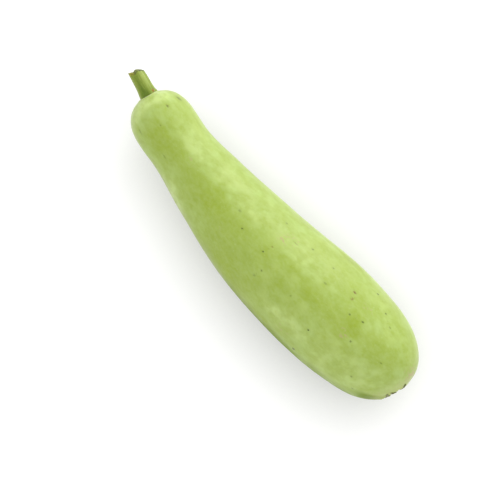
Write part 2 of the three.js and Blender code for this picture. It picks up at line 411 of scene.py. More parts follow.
# Small marks on the rind, mostly pricks and specks: the distance along the fruit and the angle,
# the length along the fruit and the width, how dark it is, and how brown. The side that is
# turned down has seeded ones of the same kinds.
MARKS = [
    (19, 72, 1.8, 1.1, 0.65, 0.3), (18, 38, 3.2, 1.7, 0.6, 0.0), (28, 103, 0.9, 0.6, 0.45, 0.1),
    (22, 144, 2.6, 0.8, 0.35, 0.0), (49, 131, 2.6, 0.6, 0.35, 0.0), (121, 87, 1.8, 1.2, 0.3, 0.0),
    (133, 99, 1.1, 1.0, 0.75, 0.0), (152, 54, 1.4, 0.9, 0.4, 0.0), (171, 66, 2.6, 0.6, 0.3, 0.9),
    (157.5, 99, 1.2, 0.9, 0.8, 0.0), (183, 57, 1.3, 0.9, 0.55, 0.0), (167, 115, 1.0, 0.9, 0.6, 0.1),
    (165, 125, 1.6, 1.1, 0.3, 0.0), (160, 88, 0.9, 0.8, 0.5, 1.0), (204, 58, 1.1, 0.9, 0.45, 0.0),
    (226, 62, 1.9, 1.3, 0.85, 0.75), (228, 70, 1.6, 1.5, 0.5, 1.0), (234, 84, 1.2, 0.9, 0.6, 0.0),
    (208, 78, 1.8, 0.8, 0.35, 0.0), (238, 38, 1.4, 1.0, 0.8, 0.1), (252, 51, 1.1, 1.0, 0.75, 0.0),
    (244, 80, 1.4, 1.0, 0.75, 0.0), (221, 126, 1.2, 1.0, 0.9, 0.0), (221, 163, 1.6, 1.4, 1.0, 0.1),
    (247, 104, 1.2, 1.0, 0.6, 0.0), (265, 137, 1.1, 0.9, 0.5, 0.1), (274, 99, 1.2, 0.7, 0.4, 0.0),
    (261, 60, 1.2, 0.8, 0.4, 0.2), (272, 155, 1.2, 0.9, 0.5, 0.2), (196, 112, 0.8, 0.7, 0.4, 0.0),
]
MARK_SIZE = 0.92
MARK_REACH = (5, 7)
UNSEEN_MARKS = 46

random = np.random.default_rng(11)
for _ in range(UNSEEN_MARKS):
    mark_place = (random.uniform(10, 292), random.uniform(188, 372))
    mark_size = random.uniform(0.6, 1.5, 2)
    MARKS.append((*mark_place, *mark_size, random.uniform(0.3, 0.9), random.uniform(0, 1) ** 3))

# Every place on the skin keeps the mark that is nearest to it, its offset from that mark counted
# in the mark's own lengths and widths, and how near it is.
mark_offset = np.zeros(skin.shape)
mark_depth = np.zeros(skin.shape[:2])
mark_brown = np.zeros(skin.shape[:2])
for mark_along, mark_angle, mark_length, mark_width, depth, brown in MARKS:
    apart = (skin - shift - rind_place(mark_along, mark_angle)) / MARK_SIZE
    across = turned_from(angle, math.radians(mark_angle)) * fruit_radius(u) / MARK_SIZE
    near = np.interp(np.linalg.norm(apart, axis=-1), MARK_REACH, (1, 0))
    chosen = near > mark_offset[..., 2]
    offset = np.stack([apart[..., 0] / mark_length, across / mark_width, near], -1)
    mark_offset[chosen] = offset[chosen]
    mark_depth[chosen] = depth
    mark_brown[chosen] = brown
keep_field(fruit_skin, "mark_depth", mark_depth)
keep_field(fruit_skin, "mark_offset", mark_offset)
keep_field(fruit_skin, "mark_brown", mark_brown)

# Broad tones of the rind, with painted shade and a painted highlight. A darker yellow-green band
# lies along the top, with a clear edge towards the +Y side and a soft one on the other: partly the
# rind's own colour and partly painted shade where the light falls off. A paler stretch lies beside
# the clear edge. The +Y flank has a painted highlight, a pale strip where it turns down. The clear
# edge is given by its angles, evenly spaced along the fruit. Cloudy darker or paler patches lie all
# over, each with its distance along, angle, length, width and how dark it is, below zero for a pale
# one: most are the rind's own tone, and a few are painted shade or painted light. Dull scuffs are
# given alike.
BAND_EDGE = [99, 96, 91, 86, 84, 84, 86, 90, 94, 98, 100]
PATCHES = [
    (42, 112, 22, 9, 0.2), (78, 106, 16, 8, 0.1), (108, 104, 18, 9, 0.15), (180, 89.5, 15, 3.6, 0.75),
    (188, 112, 12, 7, 0.4), (208, 98, 9, 6, 0.35), (223, 102, 13, 7, 0.3), (166, 104, 9, 6, 0.25),
    (266, 92, 15, 9, 0.5), (244, 88, 9, 6, 0.25), (253, 76, 7, 6, -0.45), (263, 70, 8, 6, -0.35),
    (232, 128, 26, 14, -0.45), (203, 135, 20, 10, -0.35), (178, 84, 6, 5, -0.25), (150, 74, 18, 7, 0.1),
    # The pale patch at 4 mm on the stem end's dome is partly painted light.
    (262, 135, 20, 14, -0.3), (4, 85, 11, 26, -1.35), (60, 72, 26, 9, -0.2), (239, 103, 7, 5, 0.25),
    # The dark patches at 286 mm and 291 mm are painted shade along the blossom end's lower edge.
    (284, 110, 14, 16, -0.35), (286, 166, 10, 5, 1.3), (291, 159, 7, 4, 1.3), (230, 64, 34, 16, 0.5),
    (20, 68, 9, 14, 0.25), (145, 170, 34, 10, 0.6), (272, 118, 13, 8, -0.3), (216, 140, 14, 8, -0.3),
    # The dark patch at 145 mm, low on the far flank, is painted shade.
    (184, 76, 9, 5, -0.3), (182, 126, 12, 7, 0.3), (118, 84, 12, 7, -0.3), (136, 84, 8, 5, -0.3),
    # The dark patches at 150 mm and 194 mm, low on the far flank, are painted shade.
    (98, 112, 10, 6, 0.2), (57, 62, 9, 6, -0.2), (150, 174, 52, 20, 0.6), (194, 172, 16, 8, 0.8),
    (20, 30, 8, 6, 0.6), (208, 24, 14, 6, 0.8), (35, 50, 9, 14, 0.4), (238, 86, 12, 6, 0.45),
    (200, 92, 8, 6, 0.35), (65, 86, 10, 8, -0.35), (68, 148, 12, 14, -0.4), (82, 162, 14, 9, -0.45),
    # The dark patch at 138 mm, low on the far flank, is painted shade.
    (190, 138, 14, 8, -0.25), (266, 147, 14, 9, -0.35), (138, 152, 26, 12, 0.5), (186, 136, 20, 11, -0.3),
    (74, 166, 14, 10, -0.4), (206, 20, 18, 7, 0.6), (176, 98.5, 6, 4, -0.45), (203, 103, 8, 5, 0.35),
    (231, 126, 10, 6, 0.3), (228, 102, 8, 5, 0.3), (241, 95, 8, 5, 0.3), (214, 93, 8, 5, 0.2),
]
SCUFFS = [
    (158, 77, 6, 2.6, 0.9), (164, 73, 6, 2.2, 0.8), (170, 66, 7, 2.4, 0.9), (239, 103, 7, 4, 0.7),
    (240, 63, 6, 4, 0.45), (297, 62, 8, 9, 1.0), (96, 70, 9, 4, 0.35), (62, 96, 7, 3, 0.4),
    (205, 150, 12, 5, 0.4), (120, 118, 8, 4, 0.35),
]
RIM_HIGHLIGHT_ANGLE = 11
TAIL_SHADE_AT = 290

warped = skin - shift + 1.6 * np.stack([ripple(skin, 16, seed) for seed in (43, 44, 45)], -1)


def soft_spots(spots, firmness):
    """Soft spots with wavering edges, added up: each is its strength times exp(-r ** firmness),
    where r is 1 at its length along the fruit and at its width across it."""
    total = np.zeros(skin.shape[:2])
    for along, degrees, length, width, strength in spots:
        apart = (warped - rind_place(along, degrees)) / np.array([length, width, width])
        total += strength * np.exp(-((apart**2).sum(-1) ** (firmness / 2)))
    return total


along_fruit = u * FRUIT_LENGTH
edge = through(BAND_EDGE, u)
off_pole = smooth_step(fruit_radius(u), 3, 14)
degrees_up = (np.degrees(angle) + 90) % 360 - 90 + 2.0 * ripple(skin, 22, 41)
# The band is partly the rind's own darker green and partly painted shade where the light falls off.
band_and_painted_shade = smooth_step(degrees_up, edge - 7, edge + 7) * (1 - smooth_step(degrees_up, edge + 28, edge + 68))
band_and_painted_shade = off_pole * band_and_painted_shade * smooth_step(along_fruit, 12, 34) * (1 - 0.75 * smooth_step(along_fruit, 120, 215))
beside = ridge(degrees_up, edge - 11, 11) * smooth_step(along_fruit, 10, 30)
beside = beside * (1 - smooth_step(along_fruit, 190, 240))
# A painted highlight along the +Y flank where it turns down.
painted_rim_highlight = off_pole * ridge(degrees_up, RIM_HIGHLIGHT_ANGLE, 8) * smooth_step(along_fruit, 105, 145)
shade = 0.5 * band_and_painted_shade - 0.3 * beside - 0.9 * painted_rim_highlight + soft_spots(PATCHES, 2.4)

# Painted shade darkens the other flank where it turns under, from the fruit's middle on, and most
# of all close to the blossom end; the rind is also duller and less downy there.
turned_under = 1 - smooth_step(degrees_up, 208, 240)
under = 0.65 * smooth_step(degrees_up, 160, 182) * smooth_step(along_fruit, 110, 190)
tail_shade = off_pole * ridge((skin - shift)[..., 0], TAIL_SHADE_AT, 10) * smooth_step(degrees_up, 148, 162)
keep_field(fruit_skin, "under", np.maximum(under, tail_shade) * turned_under)
keep_field(fruit_skin, "scuff", soft_spots(SCUFFS, 2))
keep_field(fruit_skin, "shade", shade)
keep_field(fruit_skin, "stem_distance", from_stem)
keep_field(fruit_skin, "blossom_distance", from_blossom)


def tint(red, green, blue):
    """A colour given as 0 to 255 screen values, as the linear values that shaders use."""
    screen = np.array([red, green, blue]) / 255
    linear = np.where(screen < 0.04045, screen / 12.92, ((screen + 0.055) / 1.055) ** 2.4)
    return (*linear.tolist(), 1)


def shader_group(name, inputs, outputs):
    """A node group with named sockets: inputs as (name, kind, value), outputs as (name, kind).
    Returns its tree, its input node's sockets and its output node's sockets."""
    group = bpy.data.node_groups.new(name, "ShaderNodeTree")
    for label, kind, value in inputs:
        socket = group.interface.new_socket(label, in_out="INPUT", socket_type="NodeSocket" + kind)
        if value is not None:
            socket.default_value = value
    for label, kind in outputs:
        group.interface.new_socket(label, in_out="OUTPUT", socket_type="NodeSocket" + kind)
    return group, group.nodes.new("NodeGroupInput").outputs, group.nodes.new("NodeGroupOutput").inputs


def pulled_apart(tree, value, contrast):
    """A value moved away from one half by a contrast, and kept between 0 and 1."""
    pulled = maths(tree, "MULTIPLY", maths(tree, "SUBTRACT", value, 0.5), contrast)
    return maths(tree, "ADD", pulled, 0.5, use_clamp=True)


# Soft cloudy patches: a noise of the given size, stretched along X, and pulled apart by contrast
# into light and dark.
mottle_group, given, result = shader_group(
    "mottle",
    [("Vector", "Vector", None), ("Size", "Float", 0.02), ("Stretch", "Float", 2.0),
     ("Contrast", "Float", 2.0)],
    [("Mask", "Float")],
)
narrowed = maths(mottle_group, "DIVIDE", 1.0, given["Stretch"])
squeeze = place(mottle_group, "ShaderNodeCombineXYZ", X=narrowed, Y=1.0, Z=1.0)
stretched = place(mottle_group, "ShaderNodeVectorMath", {"operation": "MULTIPLY"},
                  _0=given["Vector"], _1=squeeze.outputs[0])
per_size = maths(mottle_group, "DIVIDE", 1.0, given["Size"])
cloudy = place(mottle_group, "ShaderNodeTexNoise", Vector=stretched.outputs[0], Scale=per_size,
               Detail=3.0, Roughness=0.55)
mottled = pulled_apart(mottle_group, cloudy.outputs[0], given["Contrast"])
mottle_group.links.new(mottled, result["Mask"])

# Scattered round dots: each cell of the given spacing may hold one, of up to the given size.
dots_group, given, result = shader_group(
    "dots",
    [("Vector", "Vector", None), ("Spacing", "Float", 0.004), ("Size", "Float", 0.3),
     ("Share", "Float", 0.5)],
    [("Mask", "Float")],
)
per_spacing = maths(dots_group, "DIVIDE", 1.0, given["Spacing"])
cells = place(dots_group, "ShaderNodeTexVoronoi", Vector=given["Vector"], Scale=per_spacing)
chance = place(dots_group, "ShaderNodeSeparateColor", Color=cells.outputs["Color"]).outputs
dot_size = maths(dots_group, "MULTIPLY", chance["Green"], given["Size"])
inside = place(dots_group, "ShaderNodeMapRange", {"interpolation_type": "SMOOTHSTEP"},
               Value=cells.outputs["Distance"], From_Min=dot_size, From_Max=0.0, To_Min=0.0, To_Max=1.0)
held = maths(dots_group, "LESS_THAN", chance["Red"], given["Share"])
dots_group.links.new(maths(dots_group, "MULTIPLY", inside.outputs[0], held), result["Mask"])


def mixed(tree, share, under, over):
    """Colour `over` laid on colour `under` by a share from 0 to 1."""
    node = place(tree, "ShaderNodeMix", {"data_type": "RGBA"}, Factor=share)
    for socket, colour in ((6, under), (7, over)):
        if isinstance(colour, bpy.types.NodeSocket):
            tree.links.new(colour, node.inputs[socket])
        else:
            node.inputs[socket].default_value = colour
    return node.outputs[2]


def scaled(tree, value, by):
    """A value times another."""
    return maths(tree, "MULTIPLY", value, by)


def ranged(tree, value, low, high, to_low=0.0, to_high=1.0):
    """A value's range carried smoothly to another range."""
    return place(tree, "ShaderNodeMapRange", {"interpolation_type": "SMOOTHSTEP"}, Value=value,
                 From_Min=low, From_Max=high, To_Min=to_low, To_Max=to_high).outputs[0]


def group_node(tree, group, **inputs):
    """A group placed in a material."""
    return place(tree, "ShaderNodeGroup", {"node_tree": group}, **inputs).outputs[0]


def field(tree, name, output="Fac"):
    """A field stored on the mesh."""
    return place(tree, "ShaderNodeAttribute", {"attribute_name": name}).outputs[output]


def bumped(tree, strength, distance, height):
    """A surface direction tilted by small relief."""
    return place(tree, "ShaderNodeBump", Strength=strength, Distance=distance, Height=height).outputs[0]


def finished(tree, **inputs):
    """The surface that a material ends in."""
    shader = place(tree, "ShaderNodeBsdfPrincipled", **inputs)
    place(tree, "ShaderNodeOutputMaterial", Surface=shader.outputs[0])


# How far red, green and blue light reach into the waxy rind and the stalk, in proportion.
WAXY_DEPTH = (0.8, 1.0, 0.3)

# The rind's colours, from its ground up to what lies on it. The two of a pair are mixed by a
# pattern. The dark tone greens also carry painted shade, the pale green a painted highlight, the
# under green painted shade and the collar line a painted shadow.
RIND_GREENS = (tint(174, 197, 80), tint(190, 213, 106))
CLOUD_GREEN = tint(196, 223, 136)
DARK_TONE_AND_SHADE_GREENS = (tint(158, 181, 34), tint(168, 191, 54))
PALE_TONE_AND_HIGHLIGHT_GREEN = tint(212, 234, 142)
BLOT_GREEN = tint(163, 186, 50)
GRAIN_GREEN = tint(204, 224, 150)
STREAK_GREEN = tint(150, 176, 62)
UNDER_SHADE_GREEN = tint(100, 126, 14)
PORE_GREEN = tint(214, 232, 160)
CRATER_CREAM = tint(214, 224, 150)
FRECKLE_TAN = tint(206, 174, 132)
SCUFF_TAN = tint(194, 178, 124)
COLLAR_CREAM = tint(216, 226, 172)
COLLAR_SHADOW_LINE = tint(156, 152, 92)
HALO_GREEN = tint(140, 165, 70)
MARK_COLOURS = (tint(78, 98, 12), tint(132, 86, 24))

rind, tree = new_material("rind")
here = place(tree, "ShaderNodeTexCoord").outputs["Object"]
patches = group_node(tree, mottle_group, Vector=here, Size=0.036, Stretch=1.6, Contrast=4.0)
clouds = group_node(tree, mottle_group, Vector=here, Size=0.017, Stretch=1.4, Contrast=3.8)
streaks = group_node(tree, mottle_group, Vector=here, Size=0.007, Stretch=5.0, Contrast=1.6)
blots = group_node(tree, mottle_group, Vector=here, Size=0.008, Stretch=1.3, Contrast=4.2)
grain = group_node(tree, mottle_group, Vector=here, Size=0.0024, Stretch=1.5, Contrast=3.2)
pores = group_node(tree, dots_group, Vector=here, Spacing=0.0035, Size=0.32, Share=0.6)
freckles = group_node(tree, dots_group, Vector=here, Spacing=0.0019, Size=0.5, Share=0.7)
colour = mixed(tree, patches, *RIND_GREENS)
colour = mixed(tree, scaled(tree, clouds, 0.55), colour, CLOUD_GREEN)

# The broad tones, painted shade and painted highlight, their edges broken up by the clouds.
broken = maths(tree, "MULTIPLY_ADD", clouds, 0.3, field(tree, "shade"))
dark_tone_and_shade_green = mixed(tree, clouds, *DARK_TONE_AND_SHADE_GREENS)
colour = mixed(tree, ranged(tree, broken, 0.1, 1.15), colour, dark_tone_and_shade_green)
colour = mixed(tree, ranged(tree, broken, 0.2, -0.85), colour, PALE_TONE_AND_HIGHLIGHT_GREEN)
colour = mixed(tree, scaled(tree, blots, 0.58), colour, BLOT_GREEN)
colour = mixed(tree, scaled(tree, grain, 0.18), colour, GRAIN_GREEN)
colour = mixed(tree, scaled(tree, streaks, 0.2), colour, STREAK_GREEN)
# Painted shade where the other flank turns under and along the blossom end's lower edge.
under_shade_share = scaled(tree, field(tree, "under"), ranged(tree, clouds, 0.1, 0.9, 0.75, 1.0))
colour = mixed(tree, under_shade_share, colour, UNDER_SHADE_GREEN)
colour = mixed(tree, scaled(tree, pores, 0.18), colour, PORE_GREEN)

# Paler and freckled round the flower's crater, scuffed in places, and pale close to the stem,
# with a painted shadow line where the stem's foot meets the rind.
by_crater = ranged(tree, field(tree, "blossom_distance"), 29.0, 12.0)
colour = mixed(tree, scaled(tree, by_crater, 0.5), colour, CRATER_CREAM)
freckled = scaled(tree, scaled(tree, freckles, by_crater), 0.75)
colour = mixed(tree, freckled, colour, FRECKLE_TAN)
scuffed = ranged(tree, maths(tree, "MULTIPLY_ADD", grain, 0.9, field(tree, "scuff")), 0.95, 1.5)
colour = mixed(tree, scaled(tree, scuffed, 0.8), colour, SCUFF_TAN)
by_stem = ranged(tree, field(tree, "stem_distance"), 9.6, 8.0)
colour = mixed(tree, scaled(tree, by_stem, 0.55), colour, COLLAR_CREAM)
foot_shadow_line = ranged(tree, field(tree, "stem_distance"), 8.6, 7.8)
colour = mixed(tree, scaled(tree, foot_shadow_line, 0.6), colour, COLLAR_SHADOW_LINE)

# Each mark is a spot with a frayed edge, in a faint halo.
offset = place(tree, "ShaderNodeSeparateXYZ", Vector=field(tree, "mark_offset", "Vector")).outputs
flat = place(tree, "ShaderNodeCombineXYZ", X=offset["X"], Y=offset["Y"])
reach = place(tree, "ShaderNodeVectorMath", {"operation": "LENGTH"}, _0=flat.outputs[0]).outputs["Value"]
ragged = place(tree, "ShaderNodeTexNoise", Vector=here, Scale=1600.0, Detail=2.0)
frayed = maths(tree, "ADD", reach, ranged(tree, ragged.outputs[0], 0.3, 0.7, -0.35, 0.35))
halo = scaled(tree, ranged(tree, reach, 2.4, 0.9), offset["Z"])
colour = mixed(tree, scaled(tree, halo, 0.1), colour, HALO_GREEN)
spot = scaled(tree, ranged(tree, frayed, 1.0, 0.45), offset["Z"])
spot = scaled(tree, spot, field(tree, "mark_depth"))
spot_colour = mixed(tree, field(tree, "mark_brown"), *MARK_COLOURS)
colour = mixed(tree, spot, colour, spot_colour)

fine = place(tree, "ShaderNodeTexNoise", Vector=here, Scale=700.0, Detail=3.0)
relief = maths(tree, "MULTIPLY_ADD", spot, -0.8, maths(tree, "MULTIPLY_ADD", pores, -0.5, fine.outputs[0]))
finished(
    tree, Base_Color=colour, Roughness=ranged(tree, clouds, 0.0, 1.0, 0.42, 0.54),
    Normal=bumped(tree, 0.25, 0.0003, relief),
    Specular_IOR_Level=ranged(tree, field(tree, "under"), 0.0, 0.7, 0.5, 0.1),
    Subsurface_Weight=0.12, Subsurface_Scale=0.004, Subsurface_Radius=WAXY_DEPTH,
    Sheen_Weight=ranged(tree, field(tree, "under"), 0.0, 0.7, 0.3, 0.0), Sheen_Roughness=0.35,
)
fruit_skin.data.materials.append(rind)
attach(fruit_skin, "root")
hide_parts("fruit")

# ---- Stem -----------------------------------------------------------------------------------
# The stub of the fruit stalk, green and fibrous, five-ribbed and flared at its foot, where it
# grows out of the fruit. Two strokes and a tear took it off the vine. The cut edge's heights are
# evenly spaced across the stem, from one side to the other, and the tear lies between its start
# and its end.
STEM_LENGTH = 21.5
STEM_ROOT = 2.5
STEM_RADIUS = [6.9, 6.35, 6.15, 5.8, 5.4]
STEM_RIB = 0.05
STEM_STRINGS = [(13, 0.07, 0.4), (23, 0.05, 1.9), (37, 0.035, 4.0), (61, 0.02, 2.6)]
STEM_RISE = math.radians(8)
STEM_CUT_EDGE = [21.9, 21.7, 21.3, 20.9, 20.5, 20.3, 21.0, 21.2, 20.8, 20.3, 19.7, 19.1, 18.1]
STEM_CUT_HALF = 6
STEM_CUT_LEAN = 0.06
TEAR_START = (-6.4, -4.6)
TEAR_END = (-1.2, -0.2)
GROOVE_TURN = 2.05
GROOVE_DEPTH = 0.5
SCAB_TURN = 0.85
SCAB_HEIGHT = 1.5
SCAB_RADIUS = 1.4
STEM_ROWS = 110
STEM_RIM_ROWS = 8
STEM_CAP_ROWS = 26
STEM_SIDES = 200
STALK_GREENS = (tint(122, 144, 26), tint(166, 184, 66))
FINE_STRING_GREEN = tint(188, 204, 100)
STALK_PATCH_GREEN = tint(108, 130, 14)
SHADED_SIDE_GREEN = tint(102, 130, 6)
LIT_SIDE_GREEN = tint(190, 208, 116)
SCAB_BROWNS = (tint(196, 144, 30), tint(84, 70, 10))
CUT_OLIVES = (tint(84, 94, 16), tint(134, 140, 54))
CUT_RIM_SHADE_GREEN = tint(72, 86, 8)
TORN_FIBRE_COLOURS = (tint(186, 186, 60), tint(134, 116, 26))


def stem_cut_height(x, z):
    """How high the cut is at a place across the stem: the cut edge's height at that x, a little
    lower towards the upper side, less the torn fibres where the last strip tore."""
    torn = smooth_step(x, *TEAR_START) * (1 - smooth_step(x, *TEAR_END))
    fibres = ripple(np.stack([x, 0 * x, z], -1), 1.1, 21) * (0.1 + 0.3 * torn)
    height = through(STEM_CUT_EDGE, (x + STEM_CUT_HALF) / (2 * STEM_CUT_HALF)) - STEM_CUT_LEAN * z
    return height - 0.12 * np.maximum(-z - 3, 0) + np.minimum(fibres, 0.08)


def stem_radius(height, turn):
    """The flared radius with five ribs, a groove on the upper side, and fine strings along it.
    A string has a count round the stem, a depth and a phase."""
    radius = through(STEM_RADIUS, height / (1.2 * STEM_LENGTH))
    radius = radius + (0.35 + 0.35 * np.cos(turn - 0.3)) * np.exp(-np.maximum(height, 0) / 1.1)
    groove = GROOVE_DEPTH * ridge(turned_from(turn - 0.006 * height, GROOVE_TURN), 0, 0.13)
    strings = sum(
        depth * np.cos(count * turn + phase + 0.5 * np.sin(height / 7 + phase))
        for count, depth, phase in STEM_STRINGS
    )
    return radius * (1 + STEM_RIB * np.cos(5 * turn)) - groove + strings


# The rim's height and radius depend on each other, so they are worked out in a few rounds.
stem_ahead = math.cos(STEM_RISE) * stem_outward + math.sin(STEM_RISE) * stem_over
stem_upward = np.cross(stem_level, stem_ahead)
turn = np.linspace(0, 2 * math.pi, STEM_SIDES, endpoint=False)
rim_height = np.full(STEM_SIDES, STEM_LENGTH)
for _ in range(6):
    rim_radius = stem_radius(rim_height, turn)
    rim_height = stem_cut_height(rim_radius * np.cos(turn), rim_radius * np.sin(turn))
below_rim = np.linspace(0, 0.97, STEM_ROWS - STEM_RIM_ROWS)
share = np.concatenate([below_rim, np.linspace(0.975, 1, STEM_RIM_ROWS)])[:, None]
wall_height = -STEM_ROOT + share * (rim_height + STEM_ROOT)
wall_radius = stem_radius(wall_height, turn[None]) - 0.18 * smooth_step(share, 0.985, 1.0)

# The cut face sinks in at the pith, inside a low ring.
inward = np.linspace(1, 0.02, STEM_CAP_ROWS)[1:, None]
cap_radius = inward * wall_radius[-1]
pith = 0.15 * ridge(inward, 0.72, 0.07) - 0.7 * (1 - smooth_step(inward, 0.3, 0.62))
cap_height = stem_cut_height(cap_radius * np.cos(turn), cap_radius * np.sin(turn)) + pith

stem_height = np.concatenate([wall_height, cap_height])
stem_spread = np.concatenate([wall_radius, cap_radius])
from_scab = np.hypot((turn[None] - SCAB_TURN) * 6.5, stem_height - SCAB_HEIGHT)
scab = ridge(from_scab, 0, SCAB_RADIUS) * (stem_spread > 0.9 * wall_radius[-1])
stem_spread = stem_spread + 0.45 * scab
climb = np.clip(stem_height / STEM_LENGTH, 0, 1)
bend = climb**2 + 0.5 * np.sin(math.pi * climb)
stem_local = np.stack([stem_spread * np.cos(turn) + bend, stem_height, stem_spread * np.sin(turn)], -1)
stem_points = stem_seat + stem_local @ np.stack([stem_level, stem_ahead, stem_upward]) + shift
stem = closed_mesh("stem_stub", stem_points / 1000)
stem.data.set_sharp_from_angle(angle=math.radians(50))


def facet(middle, half_width):
    """1 along one side of the stem, at a turn in radians, fading to 0 on both hands of it."""
    return ridge(turned_from(turn[None], middle), 0, half_width)


# Painted light and shade on the stem's sides: painted shade along the groove and on the foot where it meets
# the rind, and painted light on the lit side and a narrow strip on the other side.
painted_shade_side = 0.6 * facet(2.12, 0.42) * (1 - 0.4 * smooth_step(stem_height, 4, 14))
painted_shade_foot = 0.8 * facet(1.75, 0.62) * ridge(np.maximum(stem_height, 0), 0, 7)
painted_lit_side = 0.52 * facet(0.95, 0.42) * smooth_step(stem_height, 3, 11) + 0.4 * facet(2.8, 0.2)
# The cut's rim, darkened in the material partly as painted shade.
wall_rim = smooth_step(share, 0.955, 0.985) + 0 * wall_height
cap_rim = smooth_step(inward, 0.8, 0.95) + 0 * cap_height
torn_side = smooth_step(-np.cos(turn)[None] * stem_spread, 0.4, 3)
fibre_place = np.broadcast_arrays(np.cos(turn), np.sin(turn), stem_height / 60)
keep_field(stem, "fibre_place", np.stack(fibre_place, -1))
keep_field(stem, "facet_shade", np.minimum(painted_shade_side + painted_shade_foot, 0.9))
keep_field(stem, "facet_light", painted_lit_side)
keep_field(stem, "cut_face", np.concatenate([0 * wall_height, 1 + 0 * cap_height]))
keep_field(stem, "cut_rim", np.concatenate([wall_rim, cap_rim]))
keep_field(stem, "torn_rim", smooth_step(stem_height, 18.6, 20.4) * torn_side)
keep_field(stem, "scab", scab)

# Strings along a stalk: a noise over a place whose last number changes slowly along the strings.
strings_group, given, result = shader_group(
    "strings",
    [("Vector", "Vector", None), ("Count", "Float", 12.0), ("Contrast", "Float", 2.0)],
    [("Mask", "Float")],
)
stringy = place(strings_group, "ShaderNodeTexNoise", Vector=given["Vector"], Scale=given["Count"],
                Detail=4.0, Roughness=0.65)
stringed = pulled_apart(strings_group, stringy.outputs[0], given["Contrast"])
strings_group.links.new(stringed, result["Mask"])

stalk, tree = new_material("green_stalk")
here = place(tree, "ShaderNodeTexCoord").outputs["Object"]
around_it = field(tree, "fibre_place", "Vector")
threads = group_node(tree, strings_group, Vector=around_it, Count=7.0, Contrast=3.0)
fine_threads = group_node(tree, strings_group, Vector=around_it, Count=26.0, Contrast=2.5)
patches = group_node(tree, mottle_group, Vector=here, Size=0.004, Stretch=2.0, Contrast=2.5)
flecks = group_node(tree, mottle_group, Vector=here, Size=0.0012, Stretch=1.0, Contrast=4.0)
colour = mixed(tree, threads, *STALK_GREENS)
colour = mixed(tree, scaled(tree, fine_threads, 0.35), colour, FINE_STRING_GREEN)
colour = mixed(tree, scaled(tree, patches, 0.3), colour, STALK_PATCH_GREEN)
# Painted shade and painted light on the stem's sides.
colour = mixed(tree, field(tree, "facet_shade"), colour, SHADED_SIDE_GREEN)
colour = mixed(tree, field(tree, "facet_light"), colour, LIT_SIDE_GREEN)
scab_colour = mixed(tree, flecks, *SCAB_BROWNS)
colour = mixed(tree, ranged(tree, field(tree, "scab"), 0.2, 0.6), colour, scab_colour)
cut_colour = mixed(tree, fine_threads, *CUT_OLIVES)
colour = mixed(tree, scaled(tree, field(tree, "cut_face"), 0.85), colour, cut_colour)
# A dark rim round the cut: partly the cut edge's own colour, partly painted shade.
rim_shade_share = scaled(tree, field(tree, "cut_rim"), ranged(tree, patches, 0.2, 0.8, 0.5, 1.0))
colour = mixed(tree, rim_shade_share, colour, CUT_RIM_SHADE_GREEN)
torn_colour = mixed(tree, flecks, *TORN_FIBRE_COLOURS)
colour = mixed(tree, scaled(tree, field(tree, "torn_rim"), 0.7), colour, torn_colour)
finished(
    tree, Base_Color=colour, Roughness=ranged(tree, threads, 0.0, 1.0, 0.62, 0.5),
    Normal=bumped(tree, 0.5, 0.0003, maths(tree, "MULTIPLY_ADD", fine_threads, 0.5, threads)),
    Subsurface_Weight=0.08, Subsurface_Scale=0.002, Subsurface_Radius=WAXY_DEPTH,
    Sheen_Weight=0.1, Sheen_Roughness=0.4,
)
stem.data.materials.append(stalk)
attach(stem, "root")
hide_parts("stem")

# ---- Blossom remnant ------------------------------------------------------------------------
# The dried foot of the flower, brown and brittle, shrunk into a shallow crater in the rind. It
# has folded ridges that run out from the middle, a small knob where the style was, and a lobed,
# ragged edge.
REMNANT_RADIUS = 7.9
REMNANT_LOBES = [(5, 0.06, 0), (11, 0.02, 1), (23, 0.015, 0)]
REMNANT_SINK = 2.4
REMNANT_ROOT = 4.9
FOLD_COUNT = 9
CREASE_COUNT = 26
REMNANT_ROWS = 90
REMNANT_SIDES = 260
CRUST_BROWNS_AND_CREASE_SHADE = (tint(56, 28, 12), tint(186, 142, 106))
CRUST_PATCH_BROWN = tint(112, 66, 36)
CRUST_FLECK_TAN = tint(214, 190, 160)
RAGGED_EDGE_OLIVES = (tint(120, 122, 52), tint(176, 180, 118))

turn = np.linspace(0, 2 * math.pi, REMNANT_SIDES, endpoint=False)[None]
out = np.linspace(0.01, 1, REMNANT_ROWS)[:, None]
lobes = 1 + sum(depth * np.cos(count * turn + phase) for count, depth, phase in REMNANT_LOBES)
reach = out * REMNANT_RADIUS * lobes * 0.985
across = np.stack([reach * np.cos(turn), reach * np.sin(turn), 0 * reach], -1)
wander = turn + 0.4 * ripple(across, 6.5, 31) * smooth_step(out, 0.1, 0.6)
folds = (0.5 + 0.5 * np.cos(FOLD_COUNT * wander + 2.2 * ripple(across, 8, 32))) ** 1.3
creases = 0.5 + 0.5 * np.cos(CREASE_COUNT * wander + 2.2 * ripple(across, 5, 33))
knob = 0.55 * ridge(reach, 1.5, 0.55) - 0.5 * ridge(reach, 0, 0.9)
body = smooth_step(out, 0.16, 0.4) * (1 - smooth_step(out, 0.9, 1.0))
crust = body * (0.9 * folds + 0.25 * creases - 0.6) + 0.7 * knob
crust = crust + (0.14 * ripple(across, 1.6, 34) + 0.2 * ripple(across, 3.2, 35)) * body
face_height = -REMNANT_SINK - 0.4 * out**2 + crust

